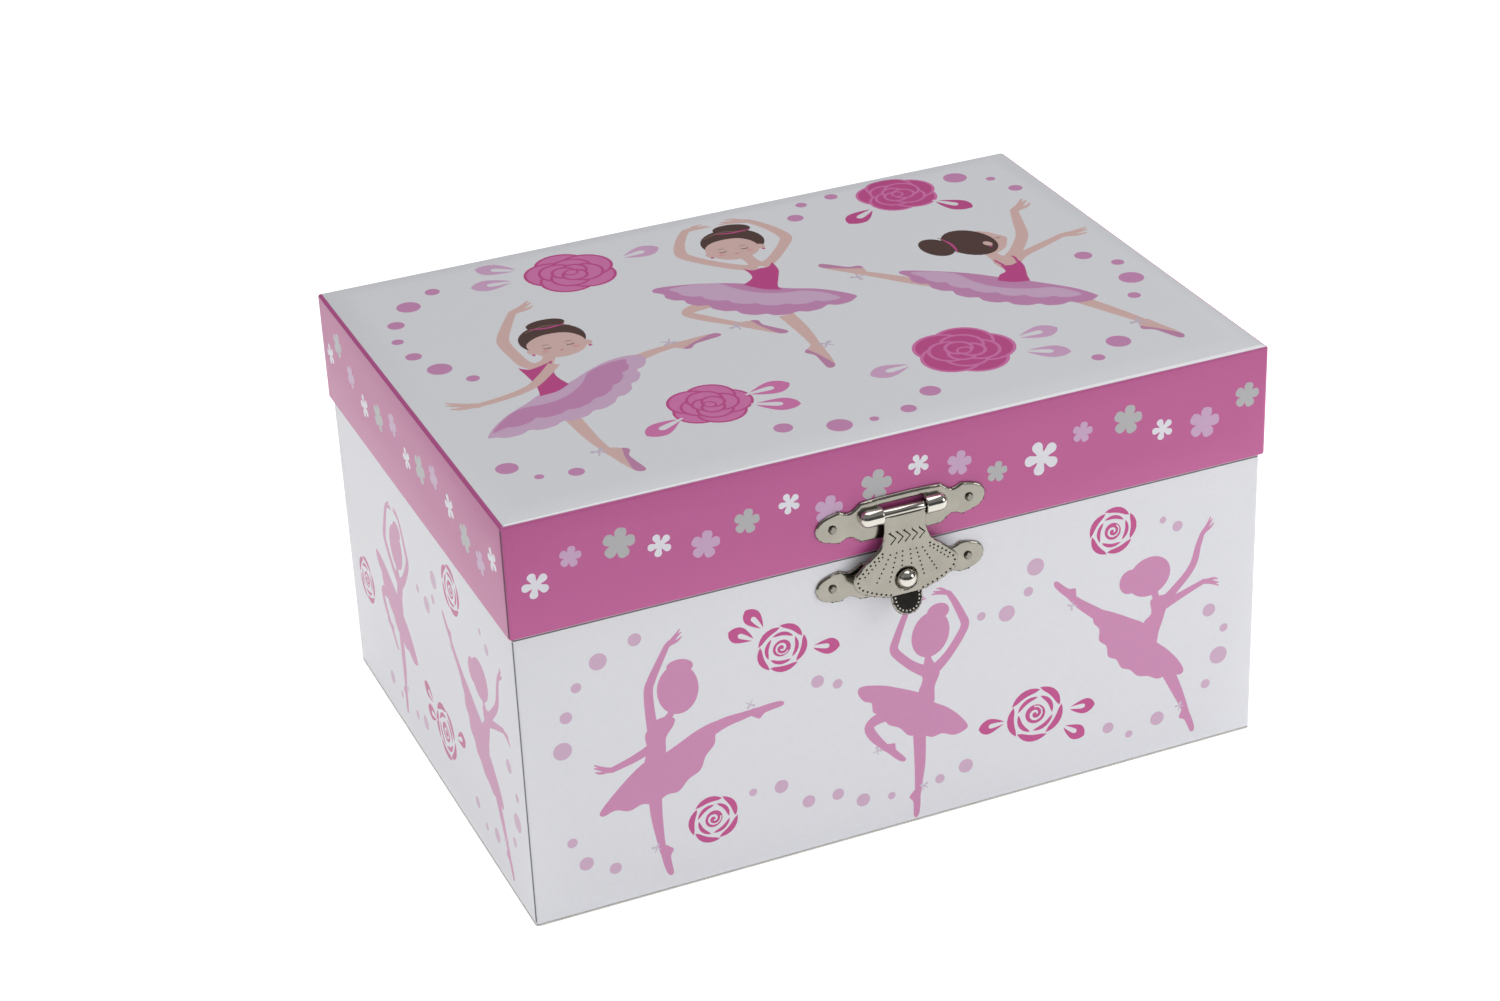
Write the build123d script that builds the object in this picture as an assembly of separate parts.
"""Musical jewellery box with a turning dancer: a paper-covered board case, a hinged lid with a
mirror, a nickel-plated hasp, and a wound music movement under a stage that turns the dancer.

Millimetres.  +X is to the right, +Y to the back, +Z up.  The origin is the middle of the underside,
on the surface that the box stands on.  The lid is shut and latched."""
from build123d import *
import math
import os

os.makedirs("parts", exist_ok=True)

# ---------------------------------------------------------------- driving dimensions
LID_W, LID_D, TOTAL_H = 150.0, 107.0, 83.5      # outside of the shut box
LID_H = 22.9                                    # height of the lid's sides
OVERHANG = 0.7                                  # lid beyond the case, all round
RIM_GAP = 0.2                                   # between lid and case when shut
PAPER = 0.3                                     # printed covering paper with its glue
BOARD = 4.5                                     # case walls, fibreboard
FLAT_BOARD = 3.0                                # base board and lid top board
LINING = 0.8                                    # flocked card
CARD = 1.5                                      # stage, partitions
CORNER_R = 0.7                                  # paper rounding at the upright corners
BEVEL_W, BEVEL_H = 4.0, 0.8                     # slope round the lid's top

CASE_W, CASE_D = LID_W - 2 * OVERHANG, LID_D - 2 * OVERHANG
CASE_TOP = TOTAL_H - LID_H - RIM_GAP
LID_BOTTOM = TOTAL_H - LID_H
CORE_W, CORE_D = CASE_W - 2 * PAPER, CASE_D - 2 * PAPER         # boards without the paper
IN_X, IN_Y = CORE_W / 2 - BOARD, CORE_D / 2 - BOARD             # half sizes of the hollow
LID_CORE_W, LID_CORE_D = LID_W - 2 * PAPER, LID_D - 2 * PAPER
FLOOR_Z = PAPER + FLAT_BOARD
LID_BOARD_Z = TOTAL_H - PAPER - FLAT_BOARD                      # underside of the lid's top board
LINED_X, LINED_Y = IN_X - LINING, IN_Y - LINING
LID_FRONT, CASE_FRONT = LID_D / 2, CASE_D / 2                   # distances from the middle

# stage and compartments
STAGE_TOP = 41.5
STAGE_Y = 21.5                                  # front face of the stage
DIVIDER_X = 24.0
RING_SHELF_Z = 26.0
ROLL_R, ROLL_COUNT, ROLL_GAP = 8.3, 4, 0.3        # gap between a roll's end and its neighbours
SPINDLE_HOLE_R, STOP_HOLE_R = 2.4, 1.0

# latch
LATCH_X = -0.45                                 # nailed on a little to the left of the middle
LATCH_PLATE = 0.5
HASP_T = 0.5
HASP_AXIS_Y, HASP_AXIS_Z = -(LID_FRONT + 1.15), 68.2
HASP_PIN_R, HASP_BARREL_R, HASP_HALF_NECK = 0.5, 1.05, 4.1
UPPER_PLATE_Z, LOWER_PLATE_Z = 67.2, 54.8
BALL_R, BALL_Y = 1.9, -(LID_FRONT + 2.0)
NAIL_X = 13.5
TAB_R, TAB_STRAIGHT, TAB_TILT = 3.1, 0.85, 16.0

# hinges
HINGE_X, HINGE_W, KNUCKLE_HALF = 47.0, 22.0, 3.9
HINGE_AXIS_Y, HINGE_AXIS_Z = LID_FRONT + 1.35, (CASE_TOP + LID_BOTTOM) / 2
KNUCKLE_R, HINGE_PIN_R, HINGE_BORE_R, LEAF_T = 1.3, 0.6, 0.64, 0.6
LEAF_REACH, LID_LEAF_FROM, CASE_LEAF_FROM = 9.2, 1.6, 2.8       # distances from the hinge axis

# music movement, bolted inside the back wall
MOVE_Z = 21.2                                   # height of its winding axis
BED_FRONT, BED_BACK = IN_Y - 2.0, IN_Y
BED_X0, BED_X1, BED_HALF_H = -12.0, 41.5, 17.6
WHEEL_TEETH, WHEEL_R, WHEEL_MODULE = 40, 10.0, 0.5
PINION_TEETH = 14
PITCH_Y = 35.05                                 # pitch plane of the crown wheel
SHAFT_Y = PITCH_Y - WHEEL_MODULE * PINION_TEETH / 2             # cylinder and dancer axes
CYL_X0, CYL_X1, CYL_R = 13.8, 28.8, 6.5
GEAR_X0, GEAR_X1 = 29.2, 30.6
GEAR_TEETH, SMALL_TEETH, FINE_MODULE = 44, 10, 0.3
TRANSFER_Y, TRANSFER_Z = SHAFT_Y + 4.05, MOVE_Z + 7.0
WORM_TEETH, WORM_MODULE, WORM_R = 20, 0.35, 1.4
TOWARDS_TRANSFER = math.degrees(math.atan2(TRANSFER_Y - SHAFT_Y, MOVE_Z - TRANSFER_Z))
PINION_PHASE = 90.0                             # a tooth towards the crown wheel's disc, in a space
GEAR_PHASE = TOWARDS_TRANSFER                   # a tooth on the line of centres
SMALL_PHASE = TOWARDS_TRANSFER + 180 - 180 / SMALL_TEETH        # a space on it
WORM_PHASE = 270.0                              # a space under the middle of the worm
FAN_X, FAN_Z = 35.0, TRANSFER_Z + WORM_TEETH * WORM_MODULE / 2 + WORM_R
COMB_TEETH, COMB_PITCH = 18, 0.84
FIRST_TRACK_X = (CYL_X0 + CYL_X1) / 2 - (COMB_TEETH - 1) * COMB_PITCH / 2
GOVERNOR_TOP = MOVE_Z + 13.3
STOP_X, STOP_Y = 43.0, 42.0
BRAKE_HUB_R = 1.6


# ---------------------------------------------------------------- small helpers
def block(x0, x1, y0, y1, z0, z1):
    """A box between two corners."""
    return Pos((x0 + x1) / 2, (y0 + y1) / 2, (z0 + z1) / 2) * Box(x1 - x0, y1 - y0, z1 - z0)


def bar_x(y, z, r, x0, x1):
    return Pos((x0 + x1) / 2, y, z) * Rot(0, 90, 0) * Cylinder(r, x1 - x0)


def bar_y(x, z, r, y0, y1):
    return Pos(x, (y0 + y1) / 2, z) * Rot(90, 0, 0) * Cylinder(r, y1 - y0)


def bar_z(x, y, r, z0, z1):
    return Pos(x, y, (z0 + z1) / 2) * Cylinder(r, z1 - z0)


def upright_plate(face, y, thickness):
    """A face drawn in X and Z, thickened towards the front from y."""
    return extrude(Plane.XZ.offset(-y) * face, amount=thickness)


def side_profile(points, x0, x1):
    """A polygon drawn in Y and Z, extruded from x0 to x1."""
    outline = make_face(Polyline(*points, close=True))
    return extrude(Plane.YZ.offset(x0) * outline, amount=x1 - x0)


def rounded_tube(width, depth, wall, z0, z1):
    outer = RectangleRounded(width, depth, CORNER_R)
    inner = Rectangle(width - 2 * wall, depth - 2 * wall)
    return Pos(0, 0, z0) * extrude(outer - inner, amount=z1 - z0)


def group(*solids):
    return Compound(children=list(solids))


def mirrored(solid):
    return mirror(solid, Plane.YZ)


def write(name, shape):
    export_step(shape, f"parts/{name}.step")


# ---------------------------------------------------------------- gears
def involute(angle):
    return math.tan(angle) - angle


def gear_face(teeth, module, tooth_share, addendum, dedendum):
    """A spur gear's outline.  tooth_share is the tooth's part of the pitch, under a half for backlash."""
    pressure = math.radians(20)
    pitch_r = module * teeth / 2
    base_r = pitch_r * math.cos(pressure)
    half = math.pi * tooth_share / teeth
    radii = [pitch_r - dedendum, pitch_r - dedendum * 0.4, pitch_r]
    radii += [pitch_r + addendum * 0.55, pitch_r + addendum]
    flank = []
    for r in radii:
        at = math.acos(min(1.0, base_r / r)) if r > base_r else 0.0
        flank.append((r, half + involute(pressure) - involute(at)))
    points = []
    for tooth in range(teeth):
        middle = 2 * math.pi * tooth / teeth
        points += [(r * math.cos(middle - a), r * math.sin(middle - a)) for r, a in flank]
        points += [(r * math.cos(middle + a), r * math.sin(middle + a)) for r, a in reversed(flank)]
    return make_face(Polyline(*points, close=True))


PINION_ADD, PINION_DED, MESH_SHARE = 0.42, 0.62, 0.40
CROWN_DEPTH = 0.65                              # from the crown wheel's pitch plane to its disc
CROWN_DISC, CROWN_HALF_FACE = 1.2, 0.7


def crown_pinion(length):
    return extrude(gear_face(PINION_TEETH, WHEEL_MODULE, MESH_SHARE, PINION_ADD, PINION_DED), amount=length)


def crown_wheel():
    """Disc with teeth standing towards the front, at the winding axis."""
    disc_front = PITCH_Y + CROWN_DEPTH
    disc_back = disc_front + CROWN_DISC
    tooth_top = PITCH_Y - PINION_ADD
    slope = math.tan(math.radians(20))
    pitch_half = math.pi * WHEEL_MODULE * MESH_SHARE / 2
    root_half = pitch_half + CROWN_DEPTH * slope
    tip_half = pitch_half - PINION_ADD * slope
    r_in, r_out = WHEEL_R - CROWN_HALF_FACE, WHEEL_R + CROWN_HALF_FACE
    sink = 0.1
    wheel = bar_y(0, 0, r_out, disc_front, disc_back)
    corners = [(-root_half, disc_front + sink), (root_half, disc_front + sink)]
    corners += [(tip_half, tooth_top), (-tip_half, tooth_top)]
    tooth_profile = make_face(Polyline(*corners, close=True))
    tooth = extrude(Plane.XY.offset(r_in) * tooth_profile, amount=r_out - r_in)
    tooth = tooth & bar_y(0, 0, r_out - 0.05, tooth_top - 1, disc_back)
    return wheel + [Rot(0, 360 * (k + 0.5) / WHEEL_TEETH, 0) * tooth for k in range(WHEEL_TEETH)]


# ---------------------------------------------------------------- case: boards, papers and linings
HASP_NAILS = [(LATCH_X + side * NAIL_X, UPPER_PLATE_Z) for side in (-1, 1)]
CATCH_NAILS = [(LATCH_X + side * NAIL_X, LOWER_PLATE_Z) for side in (-1, 1)]
LEAF_NAIL_DX, LID_LEAF_NAIL_Z, CASE_LEAF_NAIL_Z = 7.0, 67.0, 55.0
LID_HINGE_NAILS = [(s * HINGE_X + d * LEAF_NAIL_DX, LID_LEAF_NAIL_Z) for s in (-1, 1) for d in (-1, 1)]
CASE_HINGE_NAILS = [(s * HINGE_X + d * LEAF_NAIL_DX, CASE_LEAF_NAIL_Z) for s in (-1, 1) for d in (-1, 1)]
NAIL_R, NAIL_HOLE_R, NAIL_LENGTH, NAIL_HEAD_R = 0.42, 0.45, 3.6, 0.72
NAIL_HEAD_T, NAIL_TIP_GAP = 0.45, 0.4
MOVE_SCREWS = [(BED_X0 + 4, MOVE_Z - 14), (BED_X0 + 4, MOVE_Z + 14), (BED_X1 - 4, MOVE_Z - 14)]
SCREW_R, SCREW_HOLE_R = 1.0, 1.05
KEY_HOLE_R = 4.0


def drilled(solid, nails, y0, y1, radius=NAIL_HOLE_R):
    for x, z in nails:
        solid = solid - bar_y(x, z, radius, y0, y1)
    return solid


def case_boards():
    low, high = PAPER, CASE_TOP - PAPER
    half_w, half_d = CORE_W / 2, CORE_D / 2
    front = block(-half_w, half_w, -half_d, -IN_Y, low, high)
    back = block(-half_w, half_w, IN_Y, half_d, low, high)
    back = back - bar_y(0, MOVE_Z, KEY_HOLE_R, IN_Y - 1, half_d + 1)
    back = drilled(back, MOVE_SCREWS, IN_Y - 1, half_d + 1, SCREW_HOLE_R)
    write("front_wall", drilled(front, CATCH_NAILS, -half_d - 1, -half_d + NAIL_LENGTH))
    write("back_wall", drilled(back, CASE_HINGE_NAILS, half_d - NAIL_LENGTH, half_d + 1))
    write("left_wall", block(-half_w, -IN_X, -IN_Y, IN_Y, low, high))
    write("right_wall", block(IN_X, half_w, -IN_Y, IN_Y, low, high))
    write("base_board", block(-IN_X, IN_X, -IN_Y, IN_Y, low, FLOOR_Z))


def case_papers():
    wrap = rounded_tube(CASE_W, CASE_D, PAPER, PAPER, CASE_TOP)
    turn_in = RectangleRounded(CASE_W, CASE_D, CORNER_R) - Rectangle(2 * IN_X, 2 * IN_Y)
    wrap = wrap + Pos(0, 0, CASE_TOP - PAPER) * extrude(turn_in, amount=PAPER)
    wrap = wrap - bar_y(0, MOVE_Z, KEY_HOLE_R, CORE_D / 2 - 1, CASE_FRONT + 1)
    wrap = drilled(wrap, MOVE_SCREWS, CORE_D / 2 - 1, CASE_FRONT + 1, SCREW_HOLE_R)
    wrap = drilled(wrap, CATCH_NAILS, -CASE_FRONT - 1, -CORE_D / 2 + 1)
    wrap = drilled(wrap, CASE_HINGE_NAILS, CORE_D / 2 - 1, CASE_FRONT + 1)
    write("case_paper", wrap)
    write("base_paper", extrude(RectangleRounded(CASE_W, CASE_D, CORNER_R), amount=PAPER))


def case_linings():
    top = CASE_TOP - PAPER
    floor_top = FLOOR_Z + LINING
    write("floor_lining", block(-LINED_X, LINED_X, -LINED_Y, STAGE_Y, FLOOR_Z, floor_top))
    front = block(-IN_X, IN_X, -IN_Y, -LINED_Y, FLOOR_Z, top)
    back = block(-LINED_X, LINED_X, LINED_Y, IN_Y, STAGE_TOP, top)
    left = block(-IN_X, -LINED_X, -LINED_Y, STAGE_Y, FLOOR_Z, top)
    left_rear = block(-IN_X, -LINED_X, STAGE_Y, IN_Y, STAGE_TOP, top)
    left = left + left_rear
    write("wall_linings", group(front, back, left, mirrored(left)))


def stage_and_compartments():
    stage = block(-IN_X, IN_X, STAGE_Y, IN_Y, STAGE_TOP - CARD, STAGE_TOP)
    stage = stage - bar_z(0, SHAFT_Y, SPINDLE_HOLE_R, STAGE_TOP - 5, STAGE_TOP + 1)
    stage = stage - bar_z(STOP_X, STOP_Y, STOP_HOLE_R, STAGE_TOP - 5, STAGE_TOP + 1)
    under = STAGE_TOP - CARD
    write("stage_platform", stage)
    write("stage_front_panel", block(-IN_X, IN_X, STAGE_Y, STAGE_Y + CARD, FLOOR_Z, under))
    floor_top = FLOOR_Z + LINING
    write("compartment_divider", block(DIVIDER_X, DIVIDER_X + CARD, -LINED_Y, STAGE_Y, floor_top, under))
    shelf_x = DIVIDER_X + CARD
    write("ring_shelf", block(shelf_x, LINED_X, -LINED_Y, STAGE_Y, RING_SHELF_Z, RING_SHELF_Z + CARD))
    rolls, pitch = [], (STAGE_Y + LINED_Y) / ROLL_COUNT
    roll_z = RING_SHELF_Z + CARD + ROLL_R
    for k in range(ROLL_COUNT):
        y = -LINED_Y + pitch * (k + 0.5)
        rolls.append(bar_x(y, roll_z, ROLL_R, shelf_x + ROLL_GAP, LINED_X - ROLL_GAP))
    write("ring_rolls", group(*rolls))


# ---------------------------------------------------------------- lid
def bevelled_slab(width, depth, z0, z_edge, z_top, inset):
    """A slab whose top slopes up over the inset from its edge."""
    body = Pos(0, 0, z0) * extrude(Rectangle(width, depth), amount=z_edge - z0)
    crown = loft([Pos(0, 0, z_edge) * Rectangle(width, depth),
                  Pos(0, 0, z_top) * Rectangle(width - 2 * inset, depth - 2 * inset)])
    return body + crown


def lid_boards():
    low, high = LID_BOTTOM + PAPER, LID_BOARD_Z
    half_w, half_d = LID_CORE_W / 2, LID_CORE_D / 2
    front = block(-half_w, half_w, -half_d, -IN_Y, low, high)
    back = block(-half_w, half_w, IN_Y, half_d, low, high)
    write("lid_front_wall", drilled(front, HASP_NAILS, -half_d - 1, -half_d + NAIL_LENGTH))
    write("lid_back_wall", drilled(back, LID_HINGE_NAILS, half_d - NAIL_LENGTH, half_d + 1))
    write("lid_left_wall", block(-half_w, -IN_X, -IN_Y, IN_Y, low, high))
    write("lid_right_wall", block(IN_X, half_w, -IN_Y, IN_Y, low, high))
    edge_z = TOTAL_H - PAPER - BEVEL_H
    board = bevelled_slab(LID_CORE_W, LID_CORE_D, LID_BOARD_Z, edge_z, TOTAL_H - PAPER, BEVEL_W)
    write("lid_top_board", board)
    return board


def lid_papers(board):
    edge_z = TOTAL_H - BEVEL_H
    band = rounded_tube(LID_W, LID_D, PAPER, LID_BOTTOM, edge_z - PAPER)
    turn_in = RectangleRounded(LID_W, LID_D, CORNER_R) - Rectangle(2 * IN_X, 2 * IN_Y)
    band = band + Pos(0, 0, LID_BOTTOM) * extrude(turn_in, amount=PAPER)
    band = drilled(band, HASP_NAILS, -LID_FRONT - 1, -LID_CORE_D / 2 + 1)
    band = drilled(band, LID_HINGE_NAILS, LID_CORE_D / 2 - 1, LID_FRONT + 1)
    write("lid_band_paper", band)
    sheet = bevelled_slab(LID_W, LID_D, edge_z - PAPER, edge_z, TOTAL_H, BEVEL_W + PAPER)
    write("lid_top_paper", sheet - board)


MIRROR_W, MIRROR_D, MIRROR_T, MIRROR_Y = 92.0, 62.0, 1.6, -2.0
FRAME_RIM = 3.0
STRIKER_HALF, STRIKER_LOW, STRIKER_HIGH = 3.5, 0.6, 6.0         # heights above the lid's rim


def lid_inside():
    top, low = LID_BOARD_Z, LID_BOTTOM + PAPER
    write("lid_lining_panel", block(-IN_X, IN_X, -IN_Y, IN_Y, top - LINING, top))
    under = top - LINING
    front = block(-IN_X, IN_X, -IN_Y, -LINED_Y, low, under)
    left = block(-IN_X, -LINED_X, -LINED_Y, LINED_Y, low, under)
    back = block(-IN_X, IN_X, LINED_Y, IN_Y, low, under)
    write("lid_side_linings", group(front, back, left, mirrored(left)))
    glass = Pos(0, MIRROR_Y, under - MIRROR_T) * extrude(Rectangle(MIRROR_W, MIRROR_D), amount=MIRROR_T)
    write("mirror", glass)
    frame_low = under - MIRROR_T - 0.5
    outer = RectangleRounded(MIRROR_W + 2 * FRAME_RIM, MIRROR_D + 2 * FRAME_RIM, 2.5)
    frame = Pos(0, MIRROR_Y, frame_low) * extrude(outer, amount=under - frame_low)
    frame = frame - glass
    sight = Rectangle(MIRROR_W - FRAME_RIM, MIRROR_D - FRAME_RIM)
    frame = frame - Pos(0, MIRROR_Y, frame_low - 1) * extrude(sight, amount=3)
    write("mirror_frame", frame)
    x0, x1, y0 = STOP_X - STRIKER_HALF, STOP_X + STRIKER_HALF, STOP_Y - STRIKER_HALF
    striker = block(x0, x1, y0, LINED_Y, LID_BOTTOM + STRIKER_LOW, LID_BOTTOM + STRIKER_HIGH)
    write("stop_striker", striker)


# ---------------------------------------------------------------- latch
def scalloped_plate(mid_half, waist_half, lobe_half):
    """The long plate with a wide middle, a waist and a rounded lobe at each end, about its own middle."""
    side = [(8.1, mid_half - 0.2), (9.6, waist_half), (10.7, waist_half - 0.1), (12.1, lobe_half),
            (14.9, lobe_half - 0.8)]
    end = (16.8, 0)
    back = [(x, -z) for x, z in reversed(side)]
    right = [Polyline(*side), ThreePointArc(side[-1], end, back[0]), Polyline(*back)]
    top = ThreePointArc((-side[0][0], side[0][1]), (0, mid_half), side[0])
    return make_face([top, mirror(top, Plane.XZ), *right, *[mirror(edge, Plane.YZ) for edge in right]])


def hasp_plate():
    """Plate with two half-bullets pressed out of it, in which the pin's ends turn."""
    plate = upright_plate(Pos(0, UPPER_PLATE_Z) * scalloped_plate(4.2, 2.7, 3.2), -LID_FRONT, LATCH_PLATE)
    inner_x, outer_x, outer_r, hollow_r = 4.3, 7.0, 1.7, 1.15
    bullet = bar_x(HASP_AXIS_Y, HASP_AXIS_Z, outer_r, inner_x, outer_x)
    bullet = bullet + Pos(outer_x, HASP_AXIS_Y, HASP_AXIS_Z) * Sphere(outer_r)
    hollow = bar_x(HASP_AXIS_Y, HASP_AXIS_Z, hollow_r, inner_x - 1, outer_x)
    hollow = hollow + Pos(outer_x, HASP_AXIS_Y, HASP_AXIS_Z) * Sphere(hollow_r)
    dome = bullet - block(0, 20, -LID_FRONT, 0, 50, 80)
    half, below, above = 4.5, 1.5, 1.7
    window = block(-half, half, -LID_FRONT - 1, -LID_FRONT + 1, HASP_AXIS_Z - below, HASP_AXIS_Z + above)
    plate = plate + dome + mirrored(dome)
    plate = Pos(LATCH_X, 0, 0) * (plate - hollow - mirrored(hollow) - window)
    write("hasp_plate", drilled(plate, HASP_NAILS, -LID_FRONT - 1, -LID_FRONT + 1))
    write("hasp_pin", bar_x(HASP_AXIS_Y, HASP_AXIS_Z, HASP_PIN_R, LATCH_X - outer_x, LATCH_X + outer_x))


def hasp():
    """Fan-shaped flap rolled round its pin, with a hole for the ball and a finger tab at its foot."""
    front_y = HASP_AXIS_Y - HASP_BARREL_R
    neck_z, wide_z, foot_z = 64.6, 56.3, 51.6
    neck = Line((HASP_HALF_NECK, HASP_AXIS_Z), (HASP_HALF_NECK, neck_z))
    flare = Spline((HASP_HALF_NECK, neck_z), (5.3, 61.7), (8.0, 59.5), (10.3, wide_z))
    corner = Spline((10.3, wide_z), (9.5, 54.2), (6.9, 52.7), (4.2, foot_z))
    outline = [neck, flare, corner]
    outline += [mirror(edge, Plane.YZ) for edge in outline]
    outline += [Line((x, z), (-x, z)) for x, z in ((4.2, foot_z), (HASP_HALF_NECK, HASP_AXIS_Z))]
    flap = upright_plate(make_face(outline), front_y + HASP_T, HASP_T)
    barrel = bar_x(HASP_AXIS_Y, HASP_AXIS_Z, HASP_BARREL_R, -HASP_HALF_NECK, HASP_HALF_NECK)
    overlap, pin_play, ball_play = 0.2, 0.05, 0.25
    tongue = Pos(0, -TAB_STRAIGHT) * Circle(TAB_R)
    tongue = tongue - Pos(0, TAB_R - TAB_STRAIGHT) * Rectangle(4 * TAB_R, 2 * TAB_R)
    tongue = tongue + Pos(0, (overlap - TAB_STRAIGHT) / 2) * Rectangle(2 * TAB_R, overlap + TAB_STRAIGHT)
    tab = Pos(0, front_y + HASP_T, foot_z + 0.1) * Rot(90 - TAB_TILT, 0, 0) * extrude(tongue, amount=HASP_T)
    body = flap + barrel + tab
    body = body - bar_x(HASP_AXIS_Y, HASP_AXIS_Z, HASP_PIN_R + pin_play, -9, 9)
    body = body - bar_y(0, LOWER_PLATE_Z, BALL_R + ball_play, front_y - 2, front_y + 2)
    write("hasp", Pos(LATCH_X, 0, 0) * body)


def catch_plate():
    plate = upright_plate(Pos(0, LOWER_PLATE_Z) * scalloped_plate(3.9, 2.7, 3.2), -CASE_FRONT, LATCH_PLATE)
    neck_r, collar_r, collar_t = 0.95, 1.5, 0.4
    plate = plate - bar_y(0, LOWER_PLATE_Z, neck_r, -CASE_FRONT - 1, -CASE_FRONT + 1)
    plate = Pos(LATCH_X, 0, 0) * plate
    write("catch_plate", drilled(plate, CATCH_NAILS, -CASE_FRONT - 1, -CASE_FRONT + 1))
    neck = bar_y(LATCH_X, LOWER_PLATE_Z, neck_r, BALL_Y, -CASE_FRONT)
    collar_y = -CASE_FRONT - LATCH_PLATE
    collar = bar_y(LATCH_X, LOWER_PLATE_Z, collar_r, collar_y - collar_t, collar_y)
    write("catch_ball", neck + collar + Pos(LATCH_X, BALL_Y, LOWER_PLATE_Z) * Sphere(BALL_R))


def nail(x, z, seat_y, outward):
    """Round-headed nail; outward is -1 on the front and +1 on the back."""
    head = Pos(x, seat_y, z) * Sphere(NAIL_HEAD_R)
    keep = block(x - 2, x + 2, *sorted((seat_y, seat_y + outward * NAIL_HEAD_T)), z - 2, z + 2)
    depth = NAIL_LENGTH - NAIL_TIP_GAP
    shank = bar_y(x, z, NAIL_R, *sorted((seat_y, seat_y - outward * depth)))
    return (head & keep) + shank


def nails():
    lid = [nail(x, z, -LID_FRONT - LATCH_PLATE, -1) for x, z in HASP_NAILS]
    lid += [nail(x, z, LID_FRONT + LEAF_T, 1) for x, z in LID_HINGE_NAILS]
    write("lid_nails", group(*lid))
    case = [nail(x, z, -CASE_FRONT - LATCH_PLATE, -1) for x, z in CATCH_NAILS]
    case += [nail(x, z, CASE_FRONT + LEAF_T, 1) for x, z in CASE_HINGE_NAILS]
    write("case_nails", group(*case))


# ---------------------------------------------------------------- hinges
def hinge_leaves():
    y, z = HINGE_AXIS_Y, HINGE_AXIS_Z
    lid_y, case_y = LID_FRONT, CASE_FRONT
    half = HINGE_W / 2
    lid_leaf = block(-half, half, lid_y, lid_y + LEAF_T, z + LID_LEAF_FROM, z + LEAF_REACH)
    lid_leaf = lid_leaf + block(-KNUCKLE_HALF, KNUCKLE_HALF, lid_y, lid_y + LEAF_T, z, z + 2)
    lid_leaf = lid_leaf + bar_x(y, z, KNUCKLE_R, -KNUCKLE_HALF, KNUCKLE_HALF)
    lid_leaf = lid_leaf - bar_x(y, z, HINGE_BORE_R, -half - 1, half + 1)
    case_leaf = block(-half, half, case_y, case_y + LEAF_T, z - LEAF_REACH, z - CASE_LEAF_FROM)
    near, far = y - 0.75, y - 1.28
    tongue = [(case_y, z - 3.4), (case_y + LEAF_T, z - 3.4), (near, z - 1.2), (near, z)]
    tongue += [(far, z), (far, z - 1.1), (case_y, z - 2.5)]
    tail_low, tail_high, tail_length = z - 1.29, z - 0.7, 5.1
    tail = [(y, tail_low), (y + tail_length, tail_low), (y + tail_length, tail_high), (y, tail_high)]
    gap = 0.1
    for x0, x1 in ((-half, -KNUCKLE_HALF - gap), (KNUCKLE_HALF + gap, half)):
        case_leaf = case_leaf + side_profile(tongue, x0, x1) + bar_x(y, z, KNUCKLE_R, x0, x1)
        case_leaf = case_leaf + side_profile(tail, x0, x1)
    case_leaf = case_leaf - bar_x(y, z, HINGE_BORE_R, -half - 1, half + 1)
    pin = bar_x(y, z, HINGE_PIN_R, -half - 0.4, half + 0.4)
    for side in (-1, 1):
        ends = sorted((side * (half + 0.05), side * (half + 0.8)))
        pin = pin + bar_x(y, z, 0.95, *ends)
    lid_nails = [(d * LEAF_NAIL_DX, LID_LEAF_NAIL_Z) for d in (-1, 1)]
    lid_leaf = drilled(lid_leaf, lid_nails, lid_y - 1, lid_y + 2)
    leaf_nails = [(d * LEAF_NAIL_DX, CASE_LEAF_NAIL_Z) for d in (-1, 1)]
    case_leaf = drilled(case_leaf, leaf_nails, case_y - 1, case_y + 2)
    places = [Pos(side * HINGE_X, 0, 0) for side in (-1, 1)]
    write("hinge_lid_leaves", group(*[p * lid_leaf for p in places]))
    write("hinge_case_leaves", group(*[p * case_leaf for p in places]))
    write("hinge_pins", group(*[p * pin for p in places]))


# ---------------------------------------------------------------- movement, fixed parts
COMB_SCREW_X, COMB_SCREW_Z = (16.5, 26.1), MOVE_Z - 14.8
GOVERNOR_SCREW = (39.9, MOVE_Z + 11.2)
PLATE_SCREW_R, PLATE_SCREW_HOLE_R, PLATE_SCREW_HEAD_R, PLATE_SCREW_HEAD = 0.78, 0.8, 1.35, 0.9
ARBOR_R, ARBOR_BORE_R, KEY_SHAFT_R = 2.0, 2.05, 1.4
SHAFT_R, SHAFT_BORE_R = 0.8, 0.86               # cylinder arbor and dancer spindle
TRANSFER_R, TRANSFER_BORE_R = 0.5, 0.56
FAN_SHAFT_R, FAN_BORE_R = 0.4, 0.45
CYL_POST = (11.6, 13.1)                         # the two posts beside the cylinder, along x
GEAR_POST = (31.4, 32.9)
PINION_L = 2.2
PINION_REACH = 8.9                              # from the winding axis to the pinions' near ends


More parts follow.
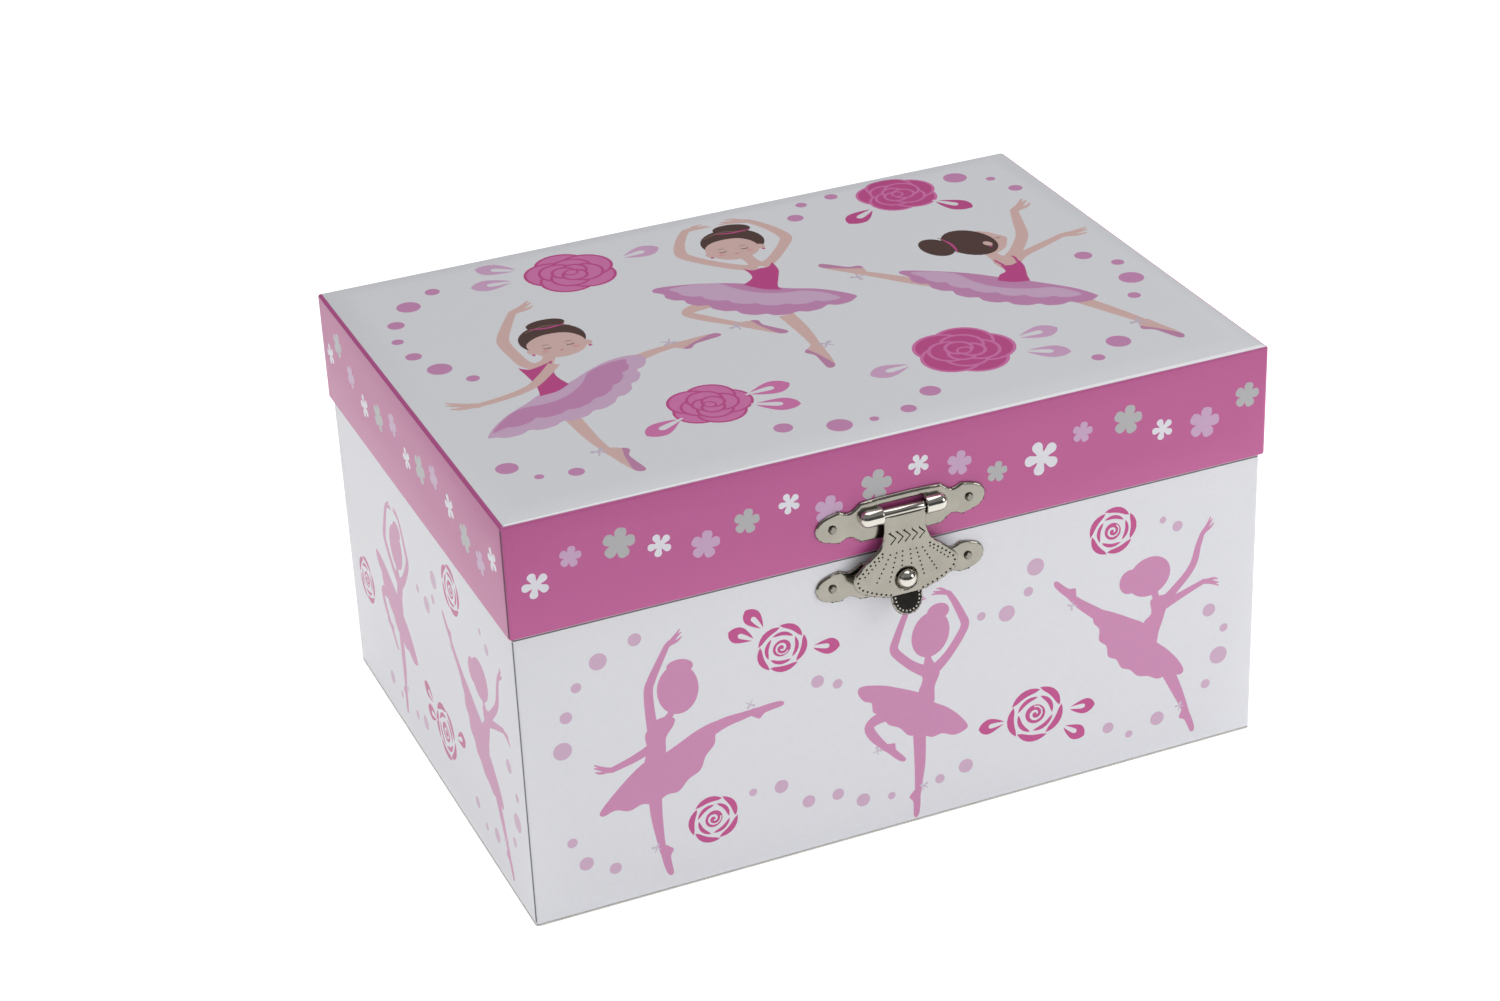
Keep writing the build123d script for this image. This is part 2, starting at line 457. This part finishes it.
def movement_bedplate():
    z = MOVE_Z
    bed = block(BED_X0, BED_X1, BED_FRONT, BED_BACK, z - BED_HALF_H, z + BED_HALF_H)
    bed = fillet(bed.edges().filter_by(Axis.Y), 3)
    spindle_arm = block(-3, 3, SHAFT_Y - 2.6, BED_FRONT, z + 11.8, z + 13.6)
    left_post = block(*CYL_POST, SHAFT_Y - 2.2, BED_FRONT, z - 2.4, z + 2.4)
    right_post = block(*GEAR_POST, SHAFT_Y - 2.2, BED_FRONT, z - 2.4, z + 2.6)
    transfer_post = block(*GEAR_POST, TRANSFER_Y - 1.7, BED_FRONT, z + 2.6, z + 8.8)
    comb_seat = block(12.8, 29.8, SHAFT_Y + 0.8, BED_FRONT, z - 17, z - 12.6)
    bed = bed + spindle_arm + left_post + right_post + transfer_post + comb_seat
    bed = bed - bar_y(0, z, ARBOR_BORE_R, BED_FRONT - 1, BED_BACK + 1)
    bed = bed - bar_z(0, SHAFT_Y, SHAFT_BORE_R, z + 11, z + 15)
    bed = bed - bar_x(SHAFT_Y, z, SHAFT_BORE_R, CYL_POST[0] - 1, GEAR_POST[1] + 1)
    bed = bed - bar_x(TRANSFER_Y, TRANSFER_Z, TRANSFER_BORE_R, GEAR_POST[0] - 1, GEAR_POST[1] + 1)
    bed = bed - bar_y(FAN_X, FAN_Z, FAN_BORE_R, BED_FRONT - 1, BED_FRONT + 0.9)
    for x in COMB_SCREW_X:
        bed = bed - bar_y(x, COMB_SCREW_Z, PLATE_SCREW_HOLE_R, SHAFT_Y, SHAFT_Y + 6)
    bed = drilled(bed, MOVE_SCREWS, BED_FRONT - 1, BED_BACK + 1, SCREW_HOLE_R)
    bed = bed - bar_y(*GOVERNOR_SCREW, PLATE_SCREW_HOLE_R, BED_FRONT - 1, BED_BACK - 0.4)
    write("movement_bedplate", bed)


def comb_and_screws():
    z = MOVE_Z
    tip_z, root_z, foot_z = z - CYL_R - 0.55, z - 12.8, z - 17.2
    x0 = FIRST_TRACK_X - COMB_PITCH / 2
    x1 = x0 + COMB_TEETH * COMB_PITCH
    comb = block(x0 - 0.6, x1 + 0.6, SHAFT_Y - 0.1, SHAFT_Y + 0.8, foot_z, root_z)
    for k in range(COMB_TEETH):
        left = x0 + k * COMB_PITCH + 0.12
        shorter = 0.9 * k / COMB_TEETH
        comb = comb + block(left, left + 0.6, SHAFT_Y - 0.1, SHAFT_Y + 0.4, root_z - 0.2 - shorter, tip_z)
    for x in COMB_SCREW_X:
        comb = comb - bar_y(x, COMB_SCREW_Z, PLATE_SCREW_HOLE_R + 0.05, SHAFT_Y - 1, SHAFT_Y + 2)
    write("comb", comb)
    seats = [(x, COMB_SCREW_Z, SHAFT_Y - 0.1, 5.5) for x in COMB_SCREW_X]
    seats.append((*GOVERNOR_SCREW, BED_FRONT - FOOT_T, 2.3))
    write("plate_screws", group(*[plate_screw(*seat) for seat in seats]))


def plate_screw(x, z, seat_y, length):
    head = bar_y(x, z, PLATE_SCREW_HEAD_R, seat_y - PLATE_SCREW_HEAD, seat_y)
    slot = block(x - 2, x + 2, seat_y - 1, seat_y - 0.5, z - 0.15, z + 0.15)
    return head - slot + bar_y(x, z, PLATE_SCREW_R, seat_y, seat_y + length)


def spring_and_housing():
    z, back, front, r = MOVE_Z, BED_FRONT, PITCH_Y + 2.35, 10.7
    cup = bar_y(0, z, r, front, back) - bar_y(0, z, r - 0.5, front - 1, back - 0.5)
    write("spring_housing", cup - bar_y(0, z, 2.4, front, back + 1))
    strip, pitch, turns, r0 = 0.28, 0.62, 11, 2.75
    outer, inner = [], []
    for k in range(2 * turns):
        radius = r0 + pitch / 4 + k * pitch / 2
        sign = 1 if k % 2 == 0 else -1
        centre = sign * pitch / 4
        for chain, grow in ((outer, strip / 2), (inner, -strip / 2)):
            rr = radius + grow
            chain.append(ThreePointArc((centre - sign * rr, 0), (centre, sign * rr), (centre + sign * rr, 0)))
    ends = [Line(outer[0] @ 0, inner[0] @ 0), Line(outer[-1] @ 1, inner[-1] @ 1)]
    face = make_face([*outer, *inner, *ends])
    write("mainspring", upright_plate(Pos(0, z) * face, back - 0.8, back - front - 1.2))


FOOT_T = 0.9                                    # the governor frame's foot, under its screw


def governor_frame():
    z = MOVE_Z
    leg_x0, leg_x1, shelf_y = 37.2, 38.2, 30.2
    foot = block(leg_x0, BED_X1 - 0.1, BED_FRONT - FOOT_T, BED_FRONT, z + 9.2, GOVERNOR_TOP)
    leg = block(leg_x0, leg_x1, shelf_y, BED_FRONT, TRANSFER_Z - 1.6, GOVERNOR_TOP)
    shelf = block(33.4, leg_x1, shelf_y, shelf_y + 1, FAN_Z - 1.7, GOVERNOR_TOP)
    frame = foot + leg + shelf
    frame = frame - bar_y(FAN_X, FAN_Z, FAN_BORE_R, shelf_y - 1, shelf_y + 2)
    frame = frame - bar_x(TRANSFER_Y, TRANSFER_Z, TRANSFER_BORE_R, leg_x0 - 1, leg_x1 + 1)
    frame = frame - bar_y(*GOVERNOR_SCREW, PLATE_SCREW_HOLE_R, BED_FRONT - 2, BED_FRONT + 1)
    write("governor_frame", frame)


def movement_screws():
    screws = []
    head_r, head_t, arm, half_slot = 2.0, 1.1, 1.3, 0.25
    slot_y = (CASE_FRONT + 0.6, CASE_FRONT + 2)
    for x, z in MOVE_SCREWS:
        head = bar_y(x, z, head_r, CASE_FRONT, CASE_FRONT + head_t)
        head = chamfer(head.edges().sort_by(Axis.Y)[-1], 0.4)
        cross = block(x - arm, x + arm, *slot_y, z - half_slot, z + half_slot)
        cross = cross + block(x - half_slot, x + half_slot, *slot_y, z - arm, z + arm)
        screws.append(head - cross + bar_y(x, z, SCREW_R, BED_FRONT, CASE_FRONT))
    write("movement_screws", group(*screws))
    ring = bar_y(0, MOVE_Z, 5.6, CASE_FRONT, CASE_FRONT + 0.6)
    sleeve = bar_y(0, MOVE_Z, KEY_HOLE_R - 0.03, CASE_FRONT - 2.5, CASE_FRONT)
    write("key_escutcheon", ring + sleeve - bar_y(0, MOVE_Z, 3.1, CASE_FRONT - 3, CASE_FRONT + 1))


# ---------------------------------------------------------------- movement, turning parts
def winding_train():
    z = MOVE_Z
    shaft_end = CASE_FRONT + 5.5
    arbor = bar_y(0, z, ARBOR_R, PITCH_Y - 0.2, BED_BACK + 1)
    write("winding_arbor", arbor + bar_y(0, z, KEY_SHAFT_R, BED_BACK + 1, shaft_end))
    wheel = crown_wheel()
    holes, hole_at, hole_r = 5, 6.2, 1.5
    for k in range(holes):
        wheel = wheel - Rot(0, 360 * k / holes, 0) * bar_y(0, hole_at, hole_r, PITCH_Y - 1, PITCH_Y + 3)
    wheel = wheel - bar_y(0, 0, ARBOR_R, PITCH_Y - 2, PITCH_Y + 3)
    write("main_wheel", Pos(0, 0, z) * wheel)
    key_y = CASE_FRONT + 1.6
    socket_l, half_blade = 5.5, 0.8
    socket = bar_y(0, z, 2.6, key_y, key_y + socket_l) - bar_y(0, z, KEY_SHAFT_R, key_y - 1, shaft_end)
    wing = Pos(5.6, 0) * Ellipse(4.6, 4.0) + Pos(-5.6, 0) * Ellipse(4.6, 4.0) + Rectangle(8, 3.6)
    wing = wing - Pos(5.9, 0) * Circle(1.7) - Pos(-5.9, 0) * Circle(1.7)
    blade = Pos(0, key_y + socket_l + 3.4, z - half_blade) * extrude(wing, amount=2 * half_blade)
    neck = block(-2.4, 2.4, key_y + socket_l - 0.5, key_y + socket_l + 1.9, z - half_blade, z + half_blade)
    write("winding_key", socket + neck + blade)


def pinned_cylinder():
    z = MOVE_Z
    shell, notes = 0.5, 3
    drum = bar_x(SHAFT_Y, z, CYL_R, CYL_X0, CYL_X1)
    drum = drum - bar_x(SHAFT_Y, z, CYL_R - shell, CYL_X0 + shell, CYL_X1 - shell)
    drum = drum - bar_x(SHAFT_Y, z, SHAFT_R, CYL_X0 - 1, CYL_X1 + 1)
    pins = []
    for track in range(COMB_TEETH):
        for note in range(notes):
            angle = (137.5 * (notes * track + note) + 20 * note) % 360
            pin = Pos(0, 0, CYL_R - 0.2) * Cylinder(0.2, 0.55, align=(Align.CENTER, Align.CENTER, Align.MIN))
            pins.append(Pos(FIRST_TRACK_X + track * COMB_PITCH, SHAFT_Y, z) * Rot(angle, 0, 0) * pin)
    write("pinned_cylinder", drum + pins)


def cylinder_arbor():
    z = MOVE_Z
    shaft = bar_x(SHAFT_Y, z, SHAFT_R, PINION_REACH, GEAR_POST[1] + 0.3)
    pinion = Pos(PINION_REACH, SHAFT_Y, z) * Rot(0, 90, 0) * Rot(0, 0, PINION_PHASE) * crown_pinion(PINION_L)
    write("cylinder_arbor", shaft + pinion)
    face = gear_face(GEAR_TEETH, FINE_MODULE, 0.40, 0.26, 0.38)
    place = Pos(GEAR_X0, SHAFT_Y, z) * Rot(0, 90, 0) * Rot(0, 0, GEAR_PHASE)
    gear = place * extrude(face, amount=GEAR_X1 - GEAR_X0)
    write("cylinder_gear", gear - bar_x(SHAFT_Y, z, SHAFT_R, GEAR_X0 - 1, GEAR_X1 + 1))


def transfer_train():
    shaft = bar_x(TRANSFER_Y, TRANSFER_Z, TRANSFER_R, GEAR_X0 - 0.2, 38.8)
    face = gear_face(SMALL_TEETH, FINE_MODULE, 0.40, 0.26, 0.36)
    pinion = Pos(GEAR_X0 - 0.2, TRANSFER_Y, TRANSFER_Z) * Rot(0, 90, 0) * Rot(0, 0, SMALL_PHASE)
    write("transfer_arbor", shaft + pinion * extrude(face, amount=GEAR_X1 - GEAR_X0 + 0.4))
    face = gear_face(WORM_TEETH, WORM_MODULE, 0.36, 0.28, 0.42)
    half_face, half_hub = 0.6, 1.6
    wheel = Pos(FAN_X - half_face, TRANSFER_Y, TRANSFER_Z) * Rot(0, 90, 0)
    wheel = wheel * extrude(face, amount=2 * half_face)
    hub = bar_x(TRANSFER_Y, TRANSFER_Z, 1.4, FAN_X - half_hub, FAN_X + half_hub)
    write("worm_wheel", wheel + hub - bar_x(TRANSFER_Y, TRANSFER_Z, TRANSFER_R, FAN_X - 5, FAN_X + 5))


def worm_and_fan():
    """The fan's spindle carries a one-start worm, a brake hub and, at its front end, the fan."""
    fan_y0, fan_y1, half_blade = 24.6, 29.4, 0.2
    spindle = bar_y(FAN_X, FAN_Z, FAN_SHAFT_R, fan_y0 - 0.3, BED_FRONT + 0.7)
    pitch, turns = math.pi * WORM_MODULE, 5
    root_r, tip_r = WORM_R - 0.40, WORM_R + 0.26
    path = Helix(pitch=pitch, height=pitch * turns, radius=root_r)
    section_plane = Plane(origin=path @ 0, x_dir=(1, 0, 0), z_dir=path % 0)
    root_half, tip_half, sink, height = 0.29, 0.11, 0.15, tip_r - root_r
    corners = [(-sink, -root_half), (height, -tip_half), (height, tip_half), (-sink, root_half)]
    section = make_face(Polyline(*corners, close=True))
    thread = sweep(section_plane * section, path=path, is_frenet=True)
    core = Pos(0, 0, pitch * turns / 2) * Cylinder(root_r, pitch * turns + 1.4)
    worm = Rot(0, 0, WORM_PHASE) * (core + thread)
    worm = Pos(FAN_X, TRANSFER_Y + pitch * turns / 2, FAN_Z) * Rot(90, 0, 0) * worm
    hub = bar_y(FAN_X, FAN_Z, BRAKE_HUB_R, STOP_Y - 1, STOP_Y + 1)
    write("worm_spindle", spindle + worm + hub)
    fan = bar_y(FAN_X, FAN_Z, 1.0, fan_y0, fan_y1) - bar_y(FAN_X, FAN_Z, FAN_SHAFT_R, fan_y0 - 1, fan_y1 + 1)
    for side in (-1, 1):
        ends = sorted((FAN_X + side * 0.7, FAN_X + side * 4.6))
        fan = fan + block(*ends, fan_y0 + 0.2, fan_y1 - 0.2, FAN_Z - half_blade, FAN_Z + half_blade)
    write("air_fan", fan)


# ---------------------------------------------------------------- dancer and stop
def dancer():
    z = MOVE_Z
    disc_r, disc_low, disc_high = 6.5, STAGE_TOP + 0.7, STAGE_TOP + 2.2
    spindle = bar_z(0, SHAFT_Y, SHAFT_R, z + PINION_REACH, disc_high)
    pinion = Pos(0, SHAFT_Y, z + PINION_REACH) * Rot(0, 0, PINION_PHASE) * crown_pinion(PINION_L)
    disc = bar_z(0, SHAFT_Y, disc_r, disc_low, disc_high)
    disc = fillet(disc.edges().sort_by(Axis.Z)[-1], 0.6)
    write("dancer_spindle", spindle + pinion + disc)
    wire_r, coil_r, turns, spring_top = 0.35, 1.35, 5, STAGE_TOP + 7.4
    height = spring_top - disc_high - 2 * wire_r
    path = Pos(0, SHAFT_Y, disc_high + wire_r) * Helix(pitch=height / turns, height=height, radius=coil_r)
    coil = sweep(Plane(origin=path @ 0, z_dir=path % 0) * Circle(wire_r), path=path, is_frenet=True)
    write("dancer_spring", coil)
    # plain figure: plug, leg, hip, body, neck, head with its bun, and arms in a ring round the head
    base = spring_top
    leg_top = base + 10.5
    figure = bar_z(0, SHAFT_Y, 1.9, base, base + 1.0)
    figure = figure + Pos(0, SHAFT_Y, (base + leg_top) / 2) * Cone(0.6, 1.35, leg_top - base)
    hip = Pos(0, SHAFT_Y, leg_top + 0.4) * Sphere(1.9)
    waist = Pos(0, SHAFT_Y, leg_top + 3.3) * Cone(1.5, 1.9, 5.4)
    neck = bar_z(0, SHAFT_Y, 0.7, leg_top + 5.5, leg_top + 8.0)
    head_z = leg_top + 9.6
    head = Pos(0, SHAFT_Y, head_z) * Sphere(2.35) + Pos(0, SHAFT_Y + 0.9, head_z + 2.1) * Sphere(1.15)
    arms = Pos(0, SHAFT_Y, head_z + 0.2) * Rot(90, 0, 0) * Torus(4.6, 0.55)
    write("dancer_figure", figure + hip + waist + neck + head + arms)
    skirt_z = leg_top + 1.4
    skirt = Pos(0, SHAFT_Y, skirt_z) * (Cone(8.2, 2.4, 2.2) - Cylinder(2.3, 3))
    write("dancer_skirt", skirt)


def stop_wire():
    """Bent wire that the lid presses; its foot lies on the brake hub of the fan's spindle."""
    wire_r = 0.5
    foot_z = FAN_Z + BRAKE_HUB_R + wire_r + 0.15
    top_z = LID_BOTTOM + 0.4
    corners = [(STOP_X, STOP_Y, top_z), (STOP_X, STOP_Y, foot_z), (FAN_X - 1.8, STOP_Y, foot_z)]
    path = FilletPolyline(*corners, radius=1.5)
    wire = sweep(Plane(origin=path @ 0, z_dir=path % 0) * Circle(wire_r), path=path)
    cap = bar_z(STOP_X, STOP_Y, 0.9, top_z - 2.2, top_z)
    write("stop_wire", wire + cap)


# ---------------------------------------------------------------- the whole box
def main():
    case_boards()
    case_papers()
    case_linings()
    stage_and_compartments()
    board = lid_boards()
    lid_papers(board)
    lid_inside()
    hasp_plate()
    hasp()
    catch_plate()
    nails()
    hinge_leaves()
    movement_bedplate()
    comb_and_screws()
    spring_and_housing()
    governor_frame()
    movement_screws()
    winding_train()
    pinned_cylinder()
    cylinder_arbor()
    transfer_train()
    worm_and_fan()
    dancer()
    stop_wire()


main()
